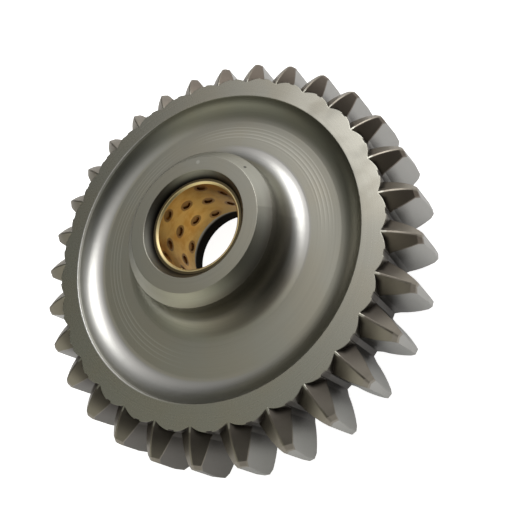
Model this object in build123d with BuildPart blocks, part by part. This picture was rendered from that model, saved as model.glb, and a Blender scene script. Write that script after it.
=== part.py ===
from build123d import *
import os
from math import acos, cos, pi, radians, sin, sqrt, tan

# Straight-cut idler gear with pointed tooth ends on its front side, and the
# bronze bush pressed into its hub.
#
# Millimetres. The gear lies on the back end of its hub: the origin is the
# centre of that end face, Z is the axis of the bore, and +Z is the front, the
# side with the long hub and the pointed teeth. The middle of a tooth is on +X.

os.makedirs("parts", exist_ok=True)

# ------------------------------------------------------------------ teeth
teeth = 30
module = 4.0
pressure_angle = 25.0     # broad roots and narrow crests
addendum = 4.6            # pitch circle to tooth tip
dedendum = 5.0            # pitch circle to the bottom of a gap
root_rise = 1.5           # height of the sloping corners, up to where the flanks start
bottom_flat = 1.6         # width of the flat bottom of a gap
face_width = 22.0         # back plane of the teeth to the front face of the rim
back_chamfer = 1.2        # broken corner round the back ends of the teeth

# pointed tooth ends: two sloping facets that meet in a ridge on each tooth
shoulder_drop = 2.0       # how far below the tip circle the ridge ends in its shoulder
point_depth = 2.8         # fall of the ridge between its start and its shoulder
point_bow = 0.7           # outward bow of the ridge from its chord
crest_setback = 4.2       # rim face back to the crest, which starts behind the shoulder
crest_drop = 1.0          # how far below the tip circle the crest starts
crest_run = 11.0          # length over which the crest then rises to the tip circle
point_slope = 0.9         # fall of a facet per millimetre sideways
ridge_flat = 0.5          # width of the flat strip along the ridge
notch_depth = 1.4         # how far below the gap bottom the ridge starts
scallop_angle = 5.2       # from the middle of a tooth to the end of its scallop
scallop_lift = 0.35       # how far the scallop's end stands over the gap bottom
scallop_bow = 9.0         # radius of each half of the scallop

# ------------------------------------------------------------------ hub, web and rim
hub_behind = 4.5          # hub length behind the teeth
hub_ahead = 9.0           # hub length in front of the rim face
hub_radius = 24.6
hub_chamfer = 3.3
hub_back_chamfer = 1.2
dish_rim_radius = 48.5    # inner edge of the rim's front face
dish_floor_radius = 41.2  # where the floor of the dish turns up towards the rim
dish_depth = 5.2          # rim face down to the floor of the dish
dish_hub_fillet = 7.0
back_rim_radius = 47.5    # inner edge of the rim's back face
back_dish_depth = 5.5
back_hub_slope = 3.0      # how far the hub widens into the back of the web
back_rim_draft = 3.0      # how far the rim leans inwards over the depth of the dish

# ------------------------------------------------------------------ bore and bush
bore_diameter = 30.0
bush_wall = 1.5
bush_length = 24.0
bush_recess = 2.8         # hub face down to the front end of the bush
bush_chamfer = 0.5
mouth_flare = 1.9         # widening of the bore over the front end of the bush
back_mouth_chamfer = 1.0
pocket_rows = 5
pockets_per_row = 6
pocket_row_pitch = 4.5
pocket_phase = 38.5       # where the middle row starts, from +X
pocket_skew = 4.5         # degrees that each row lags behind the one below it
pocket_radius = 1.45      # mouth of an oil pocket
pocket_depth = 0.5
pocket_sides = 8

# ------------------------------------------------------------------ derived
pitch_radius = module * teeth / 2
base_radius = pitch_radius * cos(radians(pressure_angle))
tip_radius = pitch_radius + addendum
root_radius = pitch_radius - dedendum
ridge_start = root_radius - notch_depth
teeth_back = hub_behind
rim_front = teeth_back + face_width
hub_front = rim_front + hub_ahead
bore_radius = bore_diameter / 2
bush_inner = bore_radius - bush_wall
bush_front = hub_front - bush_recess
bush_back = bush_front - bush_length
tooth_angle = pi / (2 * teeth)    # half the thickness of a tooth on the pitch circle
gap_step = 180 / teeth            # degrees from the middle of a tooth to that of a gap
overrun = 2.5                     # how far the cutting tools reach past the metal


def involute(angle):
    return tan(angle) - angle


def half_gap(radius):
    """Angle from the middle of a gap to its flank, at a radius."""
    rolled = involute(acos(min(1.0, base_radius / radius)))
    return pi / teeth - tooth_angle - involute(radians(pressure_angle)) + rolled


def polar(radius, angle):
    return (radius * cos(angle), radius * sin(angle))


def mirrored(point):
    return (point[0], -point[1])


# ------------------------------------------------------------------ gap cutter
# The space between two teeth, its middle on +X: a flat bottom with sloping
# corners and two involute flanks, drawn as arcs, that run on past the crests.
flank_start = root_radius + root_rise
flank_end = tip_radius + overrun
flank = [polar(r, half_gap(r)) for r in (flank_start, (flank_start + flank_end) / 2, flank_end)]
bottom_corner = (root_radius, bottom_flat / 2)

with BuildPart() as gap:
    with BuildSketch(Plane.XY.offset(teeth_back - overrun)):
        with BuildLine():
            Polyline(mirrored(flank[0]), mirrored(bottom_corner), bottom_corner, flank[0])
            ThreePointArc(*flank)
            Line(flank[-1], mirrored(flank[-1]))
            ThreePointArc(*[mirrored(p) for p in flank])
        make_face()
    extrude(amount=face_width + 2 * overrun)

# ------------------------------------------------------------------ point cutter
# Shapes the front end of the tooth on +X. The ridge bows from the rim's face
# down to the tip, a facet falls away on each side of it, and the cut stops
# inwards at a scallop that comes to a notch where the ridge starts.
ridge_top = (ridge_start, rim_front)
ridge_shoulder = (tip_radius - shoulder_drop, rim_front - point_depth)
ridge_run = ridge_shoulder[0] - ridge_top[0]
ridge_chord = sqrt(ridge_run ** 2 + point_depth ** 2)
ridge_middle = (
    (ridge_top[0] + ridge_shoulder[0]) / 2 + point_bow * point_depth / ridge_chord,
    (ridge_top[1] + ridge_shoulder[1]) / 2 + point_bow * ridge_run / ridge_chord,
)
crest_start = (tip_radius - crest_drop, rim_front - crest_setback)
crest_beyond = (tip_radius + overrun, crest_start[1] - crest_run * (1 + overrun / crest_drop))
clear_above = rim_front + 12
scallop_end = polar(root_radius + scallop_lift, radians(scallop_angle))
facet_run = (0, 1, -point_slope)
facet_length = 7 * sqrt(1 + point_slope ** 2)

with BuildPart() as point:
    with BuildSketch(Plane.XZ) as above_ridge:
        with BuildLine():
            bow = ThreePointArc(ridge_top, ridge_middle, ridge_shoulder)
            before = bow @ 0 - (bow % 0) * overrun
            Polyline(bow @ 1, crest_start, crest_beyond, (crest_beyond[0], clear_above),
                     (before.X, clear_above), before, bow @ 0)
        make_face()
    extrude(amount=ridge_flat / 2, both=True)
    with BuildSketch(Plane.XZ.offset(-ridge_flat / 2)):
        add(above_ridge.sketch_local)
    extrude(amount=facet_length, dir=facet_run)
    mirror(about=Plane.XZ)
    with BuildSketch(Plane.XY):
        with BuildLine():
            RadiusArc((ridge_start, 0), scallop_end, -scallop_bow)
            Polyline(scallop_end, polar(tip_radius + overrun, radians(scallop_angle)),
                     polar(tip_radius + overrun, -radians(scallop_angle)), mirrored(scallop_end))
            RadiusArc((ridge_start, 0), mirrored(scallop_end), scallop_bow)
        make_face()
    extrude(amount=clear_above, mode=Mode.INTERSECT)

# ------------------------------------------------------------------ gear wheel
# One forging, turned all over: hub, dished web and rim, then the teeth.
web_front = rim_front - dish_depth
web_back = teeth_back + back_dish_depth
hub_side_top = hub_front - hub_chamfer
dish_run = dish_rim_radius - dish_floor_radius
dish_wall_radius = (dish_run ** 2 + dish_depth ** 2) / (2 * dish_depth)

with BuildPart() as gear_wheel:
    with BuildSketch(Plane.XZ):
        with BuildLine():
            Polyline(
                (hub_radius, web_front + dish_hub_fillet),
                (hub_radius, hub_side_top),
                (hub_radius - hub_chamfer, hub_front),
                (bore_radius + mouth_flare, hub_front),
                (bore_radius, bush_front),
                (bore_radius, back_mouth_chamfer),
                (bore_radius + back_mouth_chamfer, 0),
                (hub_radius - hub_back_chamfer, 0),
                (hub_radius, hub_back_chamfer),
                (hub_radius, web_back - back_hub_slope),
                (hub_radius + back_hub_slope, web_back),
                (back_rim_radius - back_rim_draft, web_back),
                (back_rim_radius, teeth_back),
                (tip_radius - back_chamfer, teeth_back),
                (tip_radius, teeth_back + back_chamfer),
                (tip_radius, rim_front),
                (dish_rim_radius, rim_front),
            )
            RadiusArc((dish_rim_radius, rim_front), (dish_floor_radius, web_front), dish_wall_radius)
            Line((dish_floor_radius, web_front), (hub_radius + dish_hub_fillet, web_front))
            RadiusArc((hub_radius + dish_hub_fillet, web_front), (hub_radius, web_front + dish_hub_fillet),
                      dish_hub_fillet)
        make_face()
    revolve(axis=Axis.Z)
    with PolarLocations(0, teeth, start_angle=gap_step):
        add(gap.part, mode=Mode.SUBTRACT)
    with PolarLocations(0, teeth):
        add(point.part, mode=Mode.SUBTRACT)
gear_wheel.part.label = "gear_wheel"
export_step(gear_wheel.part, "parts/gear_wheel.step")

# ------------------------------------------------------------------ bush
# A plain bronze sleeve pressed into the bore, with both of its ends set back
# from the faces of the hub. Rows of shallow oil pockets cover its inside.
pocket_middle_row = (pocket_rows - 1) / 2
bush_middle = (bush_front + bush_back) / 2

with BuildPart() as pocket:
    with BuildSketch(Plane.YZ.offset(-overrun)):
        RegularPolygon(pocket_radius, side_count=pocket_sides)
    extrude(amount=overrun + pocket_depth)

with BuildPart() as bush:
    with BuildSketch(Plane.XZ):
        with Locations(((bush_inner + bore_radius) / 2, bush_middle)):
            Rectangle(bush_wall, bush_length)
    revolve(axis=Axis.Z)
    chamfer(bush.edges().filter_by(GeomType.CIRCLE).group_by(SortBy.RADIUS)[0], bush_chamfer)
    for row in range(pocket_rows):
        height = bush_middle + (row - pocket_middle_row) * pocket_row_pitch
        lag = (pocket_middle_row - row) * pocket_skew
        start = pocket_phase + lag + (row % 2) * 180 / pockets_per_row
        with Locations((0, 0, height)):
            with PolarLocations(bush_inner, pockets_per_row, start_angle=start):
                add(pocket.part, mode=Mode.SUBTRACT)
bush.part.label = "bush"
export_step(bush.part, "parts/bush.step")
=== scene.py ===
"""Looks for a bronze-bushed idler gear: satin turned steel, a pocketed bronze bush and a plain studio."""

from collections import namedtuple
from functools import reduce
from math import cos, radians

import bpy
from mathutils import Euler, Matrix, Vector


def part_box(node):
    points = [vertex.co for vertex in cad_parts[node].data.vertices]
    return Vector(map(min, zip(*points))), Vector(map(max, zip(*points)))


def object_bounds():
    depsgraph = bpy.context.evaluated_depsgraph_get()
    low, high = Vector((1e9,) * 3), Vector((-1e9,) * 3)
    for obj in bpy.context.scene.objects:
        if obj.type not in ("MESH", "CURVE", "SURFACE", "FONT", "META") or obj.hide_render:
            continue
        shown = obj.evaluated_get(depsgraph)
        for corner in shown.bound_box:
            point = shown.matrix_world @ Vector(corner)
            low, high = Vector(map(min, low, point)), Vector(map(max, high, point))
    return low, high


MM = 0.001

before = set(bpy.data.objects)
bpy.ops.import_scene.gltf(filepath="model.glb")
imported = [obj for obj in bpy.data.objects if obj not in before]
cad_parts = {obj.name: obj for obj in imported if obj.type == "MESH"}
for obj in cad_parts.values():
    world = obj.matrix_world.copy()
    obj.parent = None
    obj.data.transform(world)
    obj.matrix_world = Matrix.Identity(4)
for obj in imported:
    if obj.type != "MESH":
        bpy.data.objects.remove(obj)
cad_low, cad_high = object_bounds()
bush_low, bush_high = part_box("bush")
BUSH_FRONT = bush_high[2] / MM
BUSH_MIDDLE = (bush_low[2] + bush_high[2]) / 2 / MM

bl_info = {
    "name": "Idler gear dresser",
    "version": (1, 0, 0),
    "blender": (4, 5, 0),
    "location": "View3D > Sidebar > Idler gear",
    "description": "Finishes a bronze-bushed steel idler gear and sets it in a plain studio",
    "category": "Object",
}

# All sizes below are in millimetres: radii from the bore's axis, heights from the hub's back face. Where
# a pair of sizes feeds a mask, the mask is 0 at the first and 1 at the second, or full between the two.
BORE = 15.0                     # radius of the hub's bore
IN_BORE = (17.1, 16.6)          # radii at the bore's flared mouth
MOUTH = (BUSH_FRONT - 0.5, BUSH_FRONT + 2.7)
MOUTH_FADE = 0.05
# heights over which the bore's mouth gets painted shadow next to the bush
MOUTH_SHADE_HEIGHTS = (BUSH_FRONT + 2.2, BUSH_FRONT + 0.2)
BLACKENED = (6.8, 5.2)          # heights at which the bare bore turns black
RIM_FACE = 26.5                 # height
RIM_INSIDE = (48.4, 48.8)       # radii at which the dish ends and the rim face starts
BELOW_RIM = (0.05, 0.15)        # depths at which a point no longer counts as on the rim face
ON_RIM = (0.15, 0.05)

# the pointed tooth ends
TEETH = 30
PITCH = radians(360 / TEETH)
TEETH_FROM = (53.5, 54.5)       # radii
RIDGE_START = 53.6              # radius
RIDGE_FALL = 0.0346             # per square millimetre outwards
FACET_FALL = 0.9                # per millimetre sideways
SHOULDER = 62.6                 # radius at which the ridge ends
SHOULDER_FALL = 1.4             # further fall per millimetre past it
END_SKIN = (0.4, 0.1)           # how far under the ends' surface a point still counts as on them
CLOCKWISE = (-0.2, -0.5)        # sideways from the ridge
ROOT_CORNER = (56.2, 54.8)      # radii
ROOT_CORNER_DEPTH = (0.6, 1.4)
GAP_FOOT = (61.5, 56.5)         # radii
SHUT_IN = (0.75, 0.3)           # open sky left in a corner that gets painted shade

# the dish
RINGS = (34.8, 38.8)            # radii
RINGS_FADE = 0.6
RING_WAVE = 5.2                 # radians per millimetre
RING_CREST = (0.55, 0.95)       # height of the wave
DISH_WALL = (42.5, 48.3)
DISH_WALL_FADE = 0.8
DISH_WALL_DEPTH = (0.2, 0.8)
# where the dish wall gets painted shade
WALL_SHADE = (42.5, 49.0)
WALL_SHADE_FADE = 7.0
WALL_SHADE_DEPTH = (0.1, 0.6)
WALL_EDGE = (48.2, 48.75)
WALL_EDGE_FADE = 0.1
WALL_EDGE_DEPTH = (1.3, 0.9)
HUB_FILLET = (27.5, 31.5)
HUB_FILLET_FADE = 1.0
# where the hub's foot gets painted shade
HUB_FOOT = (24.7, 29.0)
HUB_FOOT_FADE = 2.0

# the bush and its oil pockets
BORED_FACE = (BORE - 0.25, BORE - 0.5)
FRONT_END = (BUSH_FRONT - 0.75, BUSH_FRONT - 0.5)
BY_HUB = (BORE - 0.9, BORE - 0.65)
GREYING_HEIGHTS = (16, 8.7)
POCKET_ROWS = 5
POCKET_ROW_PITCH = 4.5
POCKETS_ROUND = 6
POCKET_STEP = radians(360 / POCKETS_ROUND)
POCKET_PHASE = radians(38.5)
POCKET_SKEW = radians(4.5)
POCKET_STAIN = (2.4, 1.9)       # distances from a pocket's middle

# Sectors of the turn, in degrees: the middle, and how far from it the mask is still full and is gone.
# They are tuned for one view; most of them place painted shade or a painted highlight, as each is marked
# below.
RINGS_LEFT = (180, 46, 78)
RINGS_RIGHT = (45, 32, 60)
# painted highlight along the dish's edge
HIGHLIT_EDGE = (185, 46, 78)
# painted highlight tint on the dish wall
SHEEN_WALL = (200, 66, 102)
# painted highlight tint on the hub fillet
SHEEN_FILLET = (25, 37, 66)
# painted shade on the dish wall
SHADED_WALL_SIDE = (40, 32, 73)
# painted shade round the hub's foot
SHADED_HUB_SIDE = (-45, 32, 73)
# painted highlight on the rim face, in patches
RIM_HIGHLIGHT_SIDE = (24, 14, 37)
# painted shade on the clockwise side of the tooth ends
SHADED_ENDS = (40, 46, 78)
# painted shade on the tooth flanks
SHADED_FLANKS = (-122, 22, 44)
# darker low in the gaps
DARK_GAP_SIDE = (-90, 60, 84)
# painted shade on one side of the bush
SHADED_BRONZE_SIDE = (75, 18, 60)

# Noise: its scale per millimetre and its detail, and the range in which its mask rises.
CUT_DETAIL = (3.0, 0.6)
DRIFT = (0.06, 2.0)
DRIFTED = (0.35, 0.65)
GRAIN = (2.2, 4.0, 0.6)
MARK_STRETCH = 0.35             # of the tool marks along the cut
MARK_SHOWN = (0.45, 0.75)
PATCHES = (0.11, 2.0)
PATCHED = (0.3, 0.6)
BORING_STRETCH = (3.0, 2.0)     # of the boring marks, by turn and by height
BORING_MARKS = (1.2, 4.0)
BORING_SHOWN = (0.45, 0.7)
STAIN = (0.22, 3.0)
STAINED = (0.4, 0.7)

# Coats made from the metal's own colour: shares of its colour, and the coat's strength. Some of them are
# painted shade or a painted highlight, as marked.
WARM = (1.02, 0.99, 0.95, 1.0)
COOL = (0.97, 0.965, 1.06, 1.0)
MARKED = (0.72, 0.72, 0.72, 0.22)
GROUND_END = (0.74, 0.68, 0.66, 1.0)
# painted shade for the clockwise side of the tooth ends
SHADED_END = (0.50, 0.43, 0.41, 1.0)
# painted highlight tint, brighter and bluer
SHEEN = (1.05, 1.06, 1.16, 1.0)
# painted highlight on the rim face
RIM_HIGHLIGHT = (1.32, 1.32, 1.32, 0.9)
TARNISHED = (0.82, 0.68, 0.5, 1.0)
BORED = (0.82, 0.68, 0.5, 0.25)
# painted shade on one side of the bush
SHADED_BRONZE = (0.45, 0.42, 0.32, 0.6)
# greyer towards the back of the bush
GREYED = (0.42, 0.48, 0.7, 0.55)

# Coats that lie on the metal: colour and strength. Some of them are painted shade or a painted highlight, as
# marked.
# painted shade in the crevices of the teeth
CREVICE_SHADE = (0.035, 0.03, 0.025, 0.85)
# painted shade in the root corners of the teeth
ROOT_CORNER_SHADE = (0.035, 0.03, 0.025, 0.8)
# painted shade on the tooth flanks
FLANK_SHADE = (0.07, 0.058, 0.048, 0.75)
# darker low in the gaps
DARK_GAP_FOOT = (0.05, 0.042, 0.035, 0.6)
# painted shadow in the joint between bush and hub
JOINT_SHADE = (0.03, 0.022, 0.015, 0.9)
# painted shadow in the gap between bore and bush
MOUTH_SHADE = (0.012, 0.011, 0.01, 1.0)
# the bare bore below the bush is painted black
BORE_BLACK = (0.012, 0.011, 0.01, 0.96)
DULL = (0.05, 0.05, 0.05, 0.35)
# painted shade on the dish wall
DISH_WALL_SHADE = (0.09, 0.088, 0.068, 0.42)
# painted shade round the hub's foot
HUB_FOOT_SHADE = (0.09, 0.068, 0.055, 0.55)
GLINT = (0.7, 0.7, 0.62, 0.3)
# painted highlight along the dish's edge
EDGE_HIGHLIGHT = (0.85, 0.85, 0.84, 0.8)
POCKET_STRENGTH = 0.9

# small marks on the hub: where each is, the radii at which it ends and is full, and its coat
PIT = ((17.66, 14.12, 34.2), (0.6, 0.36), (0.03, 0.03, 0.03, 0.8))
KNOCK = ((2.3, 19.5, 35.5), (0.8, 0.48), (0.5, 0.5, 0.45, 0.8))

# what each adds to the roughness, and to the height of the relief
MARK_GLOSS = 0.12
GRAIN_GLOSS = 0.08
RIM_GLOSS = -0.08
END_GLOSS = 0.08
BORE_BLACK_GLOSS = 0.6
# lower roughness under the painted sheen on the dish wall and hub fillet
SHEEN_GLOSS = -0.04
STEEL_GLOSS = -0.10
BRONZE_GLOSS = -0.06
GRAIN_HEIGHT = 0.05
RING_HEIGHT = 0.5
RELIEF = 0.02 * MM

# Soft lights of the room: where each stands, how narrow it is and its share of its setting's level.
CEILING = ((0.07, 0.29, 0.96), 1.9, 1.0)
SIDE_WALL = ((-0.60, -0.79, 0.14), 3.8, 1.0)
FAR_CORNER = ((-0.55, -0.15, 0.82), 8, 0.3)
BACKDROP = ((0.55, 0.82, -0.15), 3.2, 1.0)
WINDOW = (
    ((0.0, 0.60, 0.80), 12, 1.0),
    ((0.25, 0.35, 0.90), 16, 1.0),
    ((0.45, 0.80, 0.40), 12, 1.4),
    ((-0.10, 0.50, 0.86), 70, 0.9),
)
WALL_TINT = (1, 1.01, 0.88, 1)
WINDOW_TINT = (1, 0.96, 1, 1)
WHITE = (1, 1, 1, 1)
PALE_FLOOR = (0.85, 0.85, 0.85, 1)
MIRRORED_FLOOR = 0.36           # how much of the floor's glow metal shows
FLOOR_ROUGHNESS = 0.9

# in metres
FLOOR_SIZE = 6
LAMP_PLACE = (0.34, 0.58, 0.76)
LAMP_AIM = (0, 0, 0.02)
LAMP_SIZE = 0.7


# ------------------------------------------------------------------ settings
class SteelFinish(bpy.types.PropertyGroup):
    """Satin steel of the gear wheel."""

    metal: bpy.props.FloatVectorProperty(
        name="Metal", description="Colour of clean turned steel", subtype="COLOR", size=3,
        min=0, max=1, default=(0.355, 0.351, 0.302))
    roughness: bpy.props.FloatProperty(
        name="Roughness", description="Gloss of the turned faces", subtype="FACTOR", min=0, max=1,
        default=0.36)
    mark_density: bpy.props.FloatProperty(
        name="Mark density", description="How close the circular tool marks lie", min=0, default=1.6)
    mark_depth: bpy.props.FloatProperty(
        name="Mark depth", description="Strength of the tool marks' relief", subtype="FACTOR",
        min=0, max=1, default=0.4)
    edge_round: bpy.props.FloatProperty(
        name="Edge round", description="Radius to which sharp edges are worn", subtype="DISTANCE",
        unit="LENGTH", min=0, default=0.25 * MM)
    # the crevice reach is how far the painted shade reaches out of the corners
    crevice: bpy.props.FloatProperty(
        name="Crevice", description="How far old oil reaches out of the corners", subtype="DISTANCE",
        unit="LENGTH", min=0, default=7 * MM)


class BronzeFinish(bpy.types.PropertyGroup):
    """Bored bronze of the bush."""

    metal: bpy.props.FloatVectorProperty(
        name="Metal", description="Colour of clean bronze", subtype="COLOR", size=3,
        min=0, max=1, default=(0.82, 0.525, 0.145))
    roughness: bpy.props.FloatProperty(
        name="Roughness", description="Gloss of the bored face", subtype="FACTOR", min=0, max=1,
        default=0.36)
    mark_depth: bpy.props.FloatProperty(
        name="Mark depth", description="Strength of the boring marks' relief", subtype="FACTOR",
        min=0, max=1, default=0.35)
    pocket: bpy.props.FloatVectorProperty(
        name="Pocket", description="Colour of the old oil in the pockets", subtype="COLOR", size=3,
        min=0, max=1, default=(0.27, 0.145, 0.045))
    lip: bpy.props.FloatVectorProperty(
        name="Lip", description="Colour of the bright front end", subtype="COLOR", size=3,
        min=0, max=1, default=(0.88, 0.72, 0.38))


class StudioSetup(bpy.types.PropertyGroup):
    """Camera and lamps."""

    camera_place: bpy.props.FloatVectorProperty(
        name="Camera place", description="Where the camera stands", subtype="TRANSLATION",
        unit="LENGTH", size=3, default=(0.08502, -0.07750, 0.18716))
    camera_turn: bpy.props.FloatVectorProperty(
        name="Camera turn", description="How the camera is turned", subtype="EULER", size=3,
        default=(radians(33.117), radians(27.502), radians(-1.428)))
    lens: bpy.props.FloatProperty(
        name="Lens", description="Focal length on a 36 mm sensor, in millimetres", default=44.46)
    shift: bpy.props.FloatVectorProperty(
        name="Shift", description="Sideways and upward shift of the lens", size=2, default=(0.0793, -0.2805))
    window_power: bpy.props.FloatProperty(
        name="Window power", description="Power of the large lamp behind the gear, in watts", default=4.5)
    window_glow: bpy.props.FloatProperty(
        name="Window glow", description="Softer light from round the window", min=0, default=0.8)
    ceiling: bpy.props.FloatProperty(
        name="Ceiling", description="Light from the ceiling", min=0, default=0.2)
    side_wall: bpy.props.FloatProperty(
        name="Side wall", description="Light from the pale wall at the front left", min=0, default=1.0)
    backdrop: bpy.props.FloatProperty(
        name="Backdrop", description="How much of the white backdrop metal shows", min=0, max=1, default=1.0)
    floor_glow: bpy.props.FloatProperty(
        name="Floor glow", description="How bright the floor looks where no light falls on it", min=0, max=1,
        default=0.93)


# ------------------------------------------------------------------ node trees
class Graph:
    """A node tree, filled a node at a time."""

    def __init__(self, owner):
        owner.use_nodes = True
        self.owner = owner
        self.tree = owner.node_tree
        self.shader = self.tree.nodes.get("Principled BSDF")

    def plug(self, socket, value):
        if isinstance(value, bpy.types.NodeSocket):
            self.tree.links.new(value, socket)
        elif value is not None:
            socket.default_value = value

    def node(self, kind, *values, out=0, **settings):
        made = self.tree.nodes.new(kind)
        for key, value in settings.items():
            setattr(made, key, value)
        for socket, value in zip(made.inputs, values):
            self.plug(socket, value)
        return made.outputs[out]

    def math(self, operation, *values, clamp=False):
        return self.node("ShaderNodeMath", *values, operation=operation, use_clamp=clamp)

    def product(self, *factors):
        return reduce(lambda first, second: self.math("MULTIPLY", first, second), factors)

    def total(self, *terms):
        return reduce(lambda first, second: self.math("ADD", first, second), terms)

    def minus(self, first, second):
        return self.math("SUBTRACT", first, second)

    def length(self, first, second):
        return self.math("SQRT", self.total(self.product(first, first), self.product(second, second)))

    def step(self, value, low, high):
        """0 below low, 1 above high and a soft step between them; high may be the lower one."""
        return self.node("ShaderNodeMapRange", value, low, high, 0.0, 1.0, interpolation_type="SMOOTHSTEP")

    def band(self, value, ends, soft):
        """1 between the ends, fading out over soft on each side."""
        low, high = ends
        return self.product(self.step(value, low - soft, low), self.step(value, high + soft, high))

    def sector(self, turn, sector):
        """1 near the middle of a sector of the turn and 0 away from it."""
        middle, full, gone = (radians(angle) for angle in sector)
        nearness = self.math("COSINE", self.minus(turn, middle))
        return self.step(nearness, cos(gone), cos(full))

    def blend(self, factor, first, second):
        """Mixes two colours."""
        made = self.tree.nodes.new("ShaderNodeMix")
        made.data_type = "RGBA"
        self.plug(made.inputs[0], factor)
        for socket, value in ((made.inputs[6], first), (made.inputs[7], second)):
            self.plug(socket, (*value, 1) if isinstance(value, tuple) and len(value) == 3 else value)
        return made.outputs[2]

    def coat(self, body, coat, *masks):
        """Lays a coat, a colour with its strength, over the body where every mask holds."""
        *colour, strength = coat
        return self.blend(self.product(*masks, strength), body, tuple(colour))

    def noise(self, vector, scale, detail, roughness=0.55):
        return self.node("ShaderNodeTexNoise", vector, None, scale, detail, roughness)

    def relief(self, height, strength, normal=None):
        """Gives the shader's surface a relief."""
        bump = self.tree.nodes.new("ShaderNodeBump")
        bump.inputs["Strength"].default_value = strength
        bump.inputs["Distance"].default_value = RELIEF
        self.plug(bump.inputs["Height"], height)
        self.plug(bump.inputs["Normal"], normal)
        self.plug(self.shader.inputs["Normal"], bump.outputs[0])


Place = namedtuple("Place", "radius height depth turn mm")
Teeth = namedtuple("Teeth", "all sunk ends flanks")


def turned_coordinates(graph):
    """Radius, height and depth below the rim face in millimetres, the turn in radians, the place itself."""
    place = graph.node("ShaderNodeTexCoord", out=3)
    place_mm = graph.node("ShaderNodeVectorMath", place, None, None, 1 / MM, operation="SCALE")
    split = graph.tree.nodes.new("ShaderNodeSeparateXYZ")
    graph.plug(split.inputs[0], place_mm)
    x, y, z = split.outputs
    return Place(graph.length(x, y), z, graph.minus(RIM_FACE, z), graph.math("ARCTAN2", y, x), place_mm)


def tinted(metal, coat):
    """The coat that a finish of the metal itself makes."""
    *shares, strength = coat
    return (*(channel * share for channel, share in zip(metal, shares)), strength)


# ------------------------------------------------------------------ steel
def tooth_masks(graph, at):
    """All of the teeth, what of them lies below the rim face, their pointed ends and their flanks."""
    beyond = graph.step(at.radius, *TEETH_FROM)
    sunk = graph.step(at.depth, *BELOW_RIM)
    outwards = graph.minus(at.radius, RIDGE_START)
    # a whole turn is added, so that the angle that is folded at each tooth is never below zero
    off_centre = graph.math("PINGPONG", graph.total(at.turn, TEETH * PITCH), PITCH / 2)
    past_shoulder = graph.math("MAXIMUM", graph.minus(at.radius, SHOULDER), 0.0)
    end_depth = graph.total(graph.product(outwards, outwards, RIDGE_FALL),
                            graph.product(at.radius, off_centre, FACET_FALL),
                            graph.product(past_shoulder, SHOULDER_FALL))
    on_end = graph.step(graph.minus(at.depth, end_depth), *END_SKIN)
    return Teeth(beyond, graph.product(beyond, sunk), graph.product(beyond, on_end, sunk),
                 graph.product(beyond, graph.minus(1.0, on_end)))


def coat_teeth(graph, at, body, look, teeth):
    """Cooler flanks and brown ground ends; painted shade on one side of the ends, in the crevices and root
    corners and on the flanks in one sector; darker gap feet in another.
    """
    body = graph.coat(body, tinted(look.metal, COOL), teeth.sunk)
    body = graph.coat(body, tinted(look.metal, GROUND_END), teeth.ends)
    # painted shade on the clockwise side of the tooth ends, in one sector
    sideways = graph.product(at.radius, graph.math("WRAP", at.turn, PITCH / 2, -PITCH / 2))
    body = graph.coat(body, tinted(look.metal, SHADED_END),
                      teeth.ends, graph.step(sideways, *CLOCKWISE), graph.sector(at.turn, SHADED_ENDS))

    # painted shade in the crevices, from ambient occlusion
    open_sky = graph.node("ShaderNodeAmbientOcclusion", None, look.crevice, out=1, samples=8)
    body = graph.coat(body, CREVICE_SHADE, graph.step(open_sky, *SHUT_IN), teeth.all)
    # painted shade in the root corners
    body = graph.coat(body, ROOT_CORNER_SHADE, graph.step(at.radius, *ROOT_CORNER),
                      graph.step(at.depth, *ROOT_CORNER_DEPTH), teeth.all)
    # painted shade on the flanks in one sector
    body = graph.coat(body, FLANK_SHADE, graph.sector(at.turn, SHADED_FLANKS), teeth.flanks)
    # darker low in the gaps, in one sector
    return graph.coat(body, DARK_GAP_FOOT, graph.step(at.radius, *GAP_FOOT),
                      graph.sector(at.turn, DARK_GAP_SIDE), teeth.sunk)


def coat_dish(graph, at, body, look, wave, rings, burnish_and_sheen, rim_face):
    """Glinting rings, painted shade on the dish wall and round the hub's foot, a painted sheen on the wall
    and fillet, and painted highlights along the dish's edge and on the rim face.
    """
    body = graph.coat(body, GLINT, graph.step(wave, *RING_CREST), rings)
    # painted shade on the dish wall
    body = graph.coat(body, DISH_WALL_SHADE, graph.band(at.radius, WALL_SHADE, WALL_SHADE_FADE),
                      graph.sector(at.turn, SHADED_WALL_SIDE), graph.step(at.depth, *WALL_SHADE_DEPTH))
    # painted shade round the hub's foot
    body = graph.coat(body, HUB_FOOT_SHADE, graph.band(at.radius, HUB_FOOT, HUB_FOOT_FADE),
                      graph.sector(at.turn, SHADED_HUB_SIDE))
    # painted sheen on the dish wall and hub fillet
    body = graph.coat(body, tinted(look.metal, SHEEN), burnish_and_sheen)
    # painted highlight along the dish's edge
    body = graph.coat(body, EDGE_HIGHLIGHT, graph.band(at.radius, WALL_EDGE, WALL_EDGE_FADE),
                      graph.step(at.depth, *WALL_EDGE_DEPTH), graph.sector(at.turn, HIGHLIT_EDGE))
    # painted highlight on the rim face, in patches, in one sector
    return graph.coat(body, tinted(look.metal, RIM_HIGHLIGHT), rim_face, graph.sector(at.turn, RIM_HIGHLIGHT_SIDE),
                      graph.step(graph.noise(at.mm, *PATCHES), *PATCHED))


def coat_hub(graph, at, body, in_bore, blackened):
    """A pit, a knock, a dull mouth with painted shadow round the bush, and a black bare bore below it."""
    for spot, reach, mark in (PIT, KNOCK):
        gap = graph.node("ShaderNodeVectorMath", at.mm, spot, operation="DISTANCE", out=1)
        body = graph.coat(body, mark, graph.step(gap, *reach))
    mouth = graph.product(in_bore, graph.band(at.height, MOUTH, MOUTH_FADE))
    body = graph.coat(body, DULL, mouth)
    # painted shadow in the gap between the bore's mouth and the bush
    body = graph.coat(body, MOUTH_SHADE, mouth, graph.step(at.height, *MOUTH_SHADE_HEIGHTS))
    return graph.coat(body, BORE_BLACK, blackened)


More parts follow.
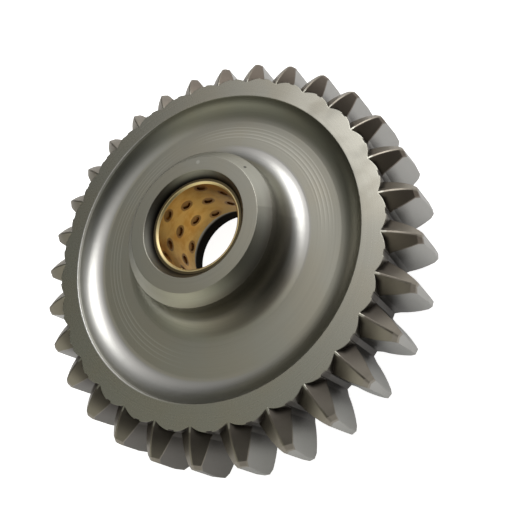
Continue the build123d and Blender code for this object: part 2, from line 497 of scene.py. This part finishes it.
def steel_material(look):
    graph = Graph(bpy.data.materials.new("turned_steel"))
    at = turned_coordinates(graph)

    # circular tool marks: noise that changes fast across the cut and slowly along it
    cut = graph.node("ShaderNodeCombineXYZ", at.radius, at.height, graph.product(at.turn, MARK_STRETCH))
    marks = graph.noise(cut, look.mark_density, *CUT_DETAIL)
    grain = graph.noise(at.mm, *GRAIN)

    # masks that more than one of colour, gloss and relief use
    teeth = tooth_masks(graph, at)
    ringed_sides = graph.total(graph.sector(at.turn, RINGS_LEFT), graph.sector(at.turn, RINGS_RIGHT))
    rings = graph.product(graph.band(at.radius, RINGS, RINGS_FADE), ringed_sides)
    wave = graph.math("SINE", graph.product(at.radius, RING_WAVE))
    # the dish wall and hub fillet get a painted sheen and a lower roughness
    wall = graph.product(graph.band(at.radius, DISH_WALL, DISH_WALL_FADE),
                         graph.step(at.depth, *DISH_WALL_DEPTH), graph.sector(at.turn, SHEEN_WALL))
    fillet = graph.product(graph.band(at.radius, HUB_FILLET, HUB_FILLET_FADE),
                           graph.sector(at.turn, SHEEN_FILLET))
    burnish_and_sheen = graph.math("MAXIMUM", wall, fillet)
    in_bore = graph.step(at.radius, *IN_BORE)
    blackened = graph.product(in_bore, graph.step(at.height, *BLACKENED))
    rim_face = graph.product(graph.step(at.radius, *RIM_INSIDE), graph.step(at.depth, *ON_RIM))

    body = graph.coat((*look.metal, 1), tinted(look.metal, WARM),
                      graph.step(graph.noise(at.mm, *DRIFT), *DRIFTED))
    body = graph.coat(body, tinted(look.metal, MARKED), graph.step(marks, *MARK_SHOWN))
    body = coat_teeth(graph, at, body, look, teeth)
    body = coat_dish(graph, at, body, look, wave, rings, burnish_and_sheen, rim_face)
    body = coat_hub(graph, at, body, in_bore, blackened)
    graph.plug(graph.shader.inputs["Base Color"], body)
    graph.shader.inputs["Metallic"].default_value = 1

    parts = ((marks, MARK_GLOSS), (grain, GRAIN_GLOSS), (rim_face, RIM_GLOSS), (teeth.ends, END_GLOSS),
             (blackened, BORE_BLACK_GLOSS), (burnish_and_sheen, SHEEN_GLOSS))
    gloss = graph.total(look.roughness + STEEL_GLOSS, *(graph.product(*part) for part in parts))
    graph.plug(graph.shader.inputs["Roughness"], gloss)

    height = graph.total(marks, graph.product(grain, GRAIN_HEIGHT), graph.product(wave, rings, RING_HEIGHT))
    graph.relief(height, look.mark_depth, graph.node("ShaderNodeBevel", look.edge_round, samples=4))
    return graph.owner


# ------------------------------------------------------------------ bronze
def near_pocket(graph, at):
    """1 round each oil pocket; the rows are offset by half a step and a little skew."""
    above = graph.minus(at.height, BUSH_MIDDLE)
    last_row = (POCKET_ROWS - 1) / 2
    row = graph.node("ShaderNodeClamp", graph.math("ROUND", graph.math("DIVIDE", above, POCKET_ROW_PITCH)),
                     -last_row, last_row)
    lag = graph.product(row, POCKET_STEP / 2 - POCKET_SKEW)
    from_first = graph.total(graph.minus(at.turn, lag), POCKETS_ROUND * POCKET_STEP - POCKET_PHASE)
    sideways = graph.product(at.radius, graph.math("PINGPONG", from_first, POCKET_STEP / 2))
    upwards = graph.minus(above, graph.product(row, POCKET_ROW_PITCH))
    return graph.product(graph.step(graph.length(sideways, upwards), *POCKET_STAIN),
                         graph.step(at.radius, *BORED_FACE))


def bronze_material(look):
    graph = Graph(bpy.data.materials.new("bored_bronze"))
    at = turned_coordinates(graph)
    by_turn, by_height = BORING_STRETCH
    cut = graph.node("ShaderNodeCombineXYZ", graph.product(at.turn, by_turn),
                     graph.product(at.height, by_height), 0.0)
    marks = graph.noise(cut, *BORING_MARKS)
    front_end = graph.step(at.height, *FRONT_END)

    body = graph.coat((*look.metal, 1), tinted(look.metal, TARNISHED),
                      graph.step(graph.noise(at.mm, *STAIN), *STAINED))
    body = graph.coat(body, tinted(look.metal, BORED), graph.step(marks, *BORING_SHOWN))
    # painted shade on one side of the bush
    body = graph.coat(body, tinted(look.metal, SHADED_BRONZE), graph.sector(at.turn, SHADED_BRONZE_SIDE))
    # greyer towards the back of the bush
    body = graph.coat(body, tinted(look.metal, GREYED), graph.step(at.height, *GREYING_HEIGHTS))
    body = graph.coat(body, (*look.pocket, POCKET_STRENGTH), near_pocket(graph, at))
    body = graph.coat(body, (*look.lip, 1), front_end)
    # painted shadow on the bush's end beside the hub
    body = graph.coat(body, JOINT_SHADE, front_end, graph.step(at.radius, *BY_HUB))
    graph.plug(graph.shader.inputs["Base Color"], body)
    graph.shader.inputs["Metallic"].default_value = 1
    graph.plug(graph.shader.inputs["Roughness"],
               graph.total(graph.product(marks, MARK_GLOSS), look.roughness + BRONZE_GLOSS))
    graph.relief(marks, look.mark_depth)
    return graph.owner


# ------------------------------------------------------------------ studio
def mirror_and_camera(graph, mirrored):
    """1 for what the camera sees, straight or through glass, and mirrored for what metal shows of it."""
    seen = graph.tree.nodes.new("ShaderNodeLightPath").outputs
    straight = graph.total(seen["Is Camera Ray"], seen["Is Transmission Ray"])
    return graph.math("ADD", straight, graph.product(seen["Is Glossy Ray"], mirrored), clamp=True)


def floor_material(studio):
    """Pale floor, which its glow and the lamps bring to white; it hardly shows the gear's shadow."""
    graph = Graph(bpy.data.materials.new("pale_floor"))
    graph.shader.inputs["Base Color"].default_value = PALE_FLOOR
    graph.shader.inputs["Roughness"].default_value = FLOOR_ROUGHNESS
    graph.shader.inputs["Emission Color"].default_value = WHITE
    glow = graph.product(mirror_and_camera(graph, MIRRORED_FLOOR), studio.floor_glow)
    graph.plug(graph.shader.inputs["Emission Strength"], glow)
    graph.owner.cycles.emission_sampling = "NONE"
    return graph.owner


def studio_world(studio):
    """Dim room with a soft window, a pale wall and a white backdrop, which the camera sees all round."""
    graph = Graph(bpy.data.worlds.new("studio"))
    sight = graph.node("ShaderNodeTexCoord", out=0)

    def glow(light, level):
        towards, narrow, share = light
        facing = graph.node("ShaderNodeVectorMath", sight, tuple(Vector(towards).normalized()),
                            operation="DOT_PRODUCT", out=1)
        spread = graph.math("POWER", graph.math("MAXIMUM", facing, 0.0), narrow)
        return graph.product(spread, share * level)

    walls = graph.total(glow(CEILING, studio.ceiling), glow(SIDE_WALL, studio.side_wall),
                        glow(FAR_CORNER, studio.window_glow))
    window = graph.total(*(glow(light, studio.window_glow) for light in WINDOW))
    room = graph.node("ShaderNodeAddShader", graph.node("ShaderNodeBackground", WALL_TINT, walls),
                      graph.node("ShaderNodeBackground", WINDOW_TINT, window))
    white = graph.node("ShaderNodeBackground", WHITE, 1.0)
    seen = mirror_and_camera(graph, glow(BACKDROP, studio.backdrop))
    shown = graph.node("ShaderNodeMixShader", seen, room, white)
    graph.plug(graph.tree.nodes["World Output"].inputs["Surface"], shown)
    graph.owner.cycles.sampling_method = "NONE"
    return graph.owner


def add_window_lamp(power):
    data = bpy.data.lights.new("window", "AREA")
    data.shape = "DISK"
    data.size = LAMP_SIZE
    data.energy = power
    lamp = bpy.data.objects.new("window", data)
    lamp.location = LAMP_PLACE
    lamp.rotation_euler = (Vector(LAMP_AIM) - Vector(LAMP_PLACE)).to_track_quat("-Z", "Y").to_euler()
    bpy.context.scene.collection.objects.link(lamp)


def add_camera(studio):
    data = bpy.data.cameras.new("camera")
    data.lens = studio.lens
    data.sensor_width = 36
    data.clip_start = 5 * MM
    data.shift_x, data.shift_y = studio.shift
    camera = bpy.data.objects.new("camera", data)
    camera.location = studio.camera_place
    camera.rotation_euler = Euler(studio.camera_turn)
    bpy.context.scene.collection.objects.link(camera)
    bpy.context.scene.camera = camera


# ------------------------------------------------------------------ operators
class GEAR_OT_finish_wheel(bpy.types.Operator):
    """Gives the gear wheel its turned steel."""

    bl_idname = "gear.finish_wheel"
    bl_label = "Finish the gear wheel"

    def execute(self, context):
        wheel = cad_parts["gear_wheel"]
        wheel.data.materials.clear()
        wheel.data.materials.append(steel_material(context.scene.gear_steel))
        return {"FINISHED"}


class GEAR_OT_finish_bush(bpy.types.Operator):
    """Gives the bush its bored bronze."""

    bl_idname = "gear.finish_bush"
    bl_label = "Finish the bush"

    def execute(self, context):
        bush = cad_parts["bush"]
        bush.data.materials.clear()
        bush.data.materials.append(bronze_material(context.scene.gear_bronze))
        return {"FINISHED"}


class GEAR_OT_set_stage(bpy.types.Operator):
    """Lays the floor, hangs the lamp, lights the room and stands the camera."""

    bl_idname = "gear.set_stage"
    bl_label = "Set the stage"

    def execute(self, context):
        studio = context.scene.gear_studio
        bpy.ops.mesh.primitive_plane_add(size=FLOOR_SIZE, location=(0, 0, cad_low[2]))
        floor = context.active_object
        floor.name = "floor"
        floor.data.materials.append(floor_material(studio))
        add_camera(studio)
        add_window_lamp(studio.window_power)
        context.scene.world = studio_world(studio)
        context.scene.view_settings.view_transform = "Standard"
        return {"FINISHED"}


class GEAR_PT_panel(bpy.types.Panel):
    """Lists the steps that finish the gear."""

    bl_label = "Idler gear"
    bl_space_type = "VIEW_3D"
    bl_region_type = "UI"
    bl_category = "Idler gear"

    def draw(self, context):
        for step in STEPS:
            self.layout.operator(step.bl_idname)


STEPS = (GEAR_OT_finish_wheel, GEAR_OT_finish_bush, GEAR_OT_set_stage)
CLASSES = (SteelFinish, BronzeFinish, StudioSetup, *STEPS, GEAR_PT_panel)


def register():
    for cls in CLASSES:
        bpy.utils.register_class(cls)
    bpy.types.Scene.gear_steel = bpy.props.PointerProperty(type=SteelFinish)
    bpy.types.Scene.gear_bronze = bpy.props.PointerProperty(type=BronzeFinish)
    bpy.types.Scene.gear_studio = bpy.props.PointerProperty(type=StudioSetup)


def unregister():
    del bpy.types.Scene.gear_studio
    del bpy.types.Scene.gear_bronze
    del bpy.types.Scene.gear_steel
    for cls in reversed(CLASSES):
        bpy.utils.unregister_class(cls)


def main():
    register()
    bpy.ops.gear.finish_wheel()
    bpy.ops.gear.finish_bush()
    bpy.ops.gear.set_stage()


if __name__ == "__main__":
    main()
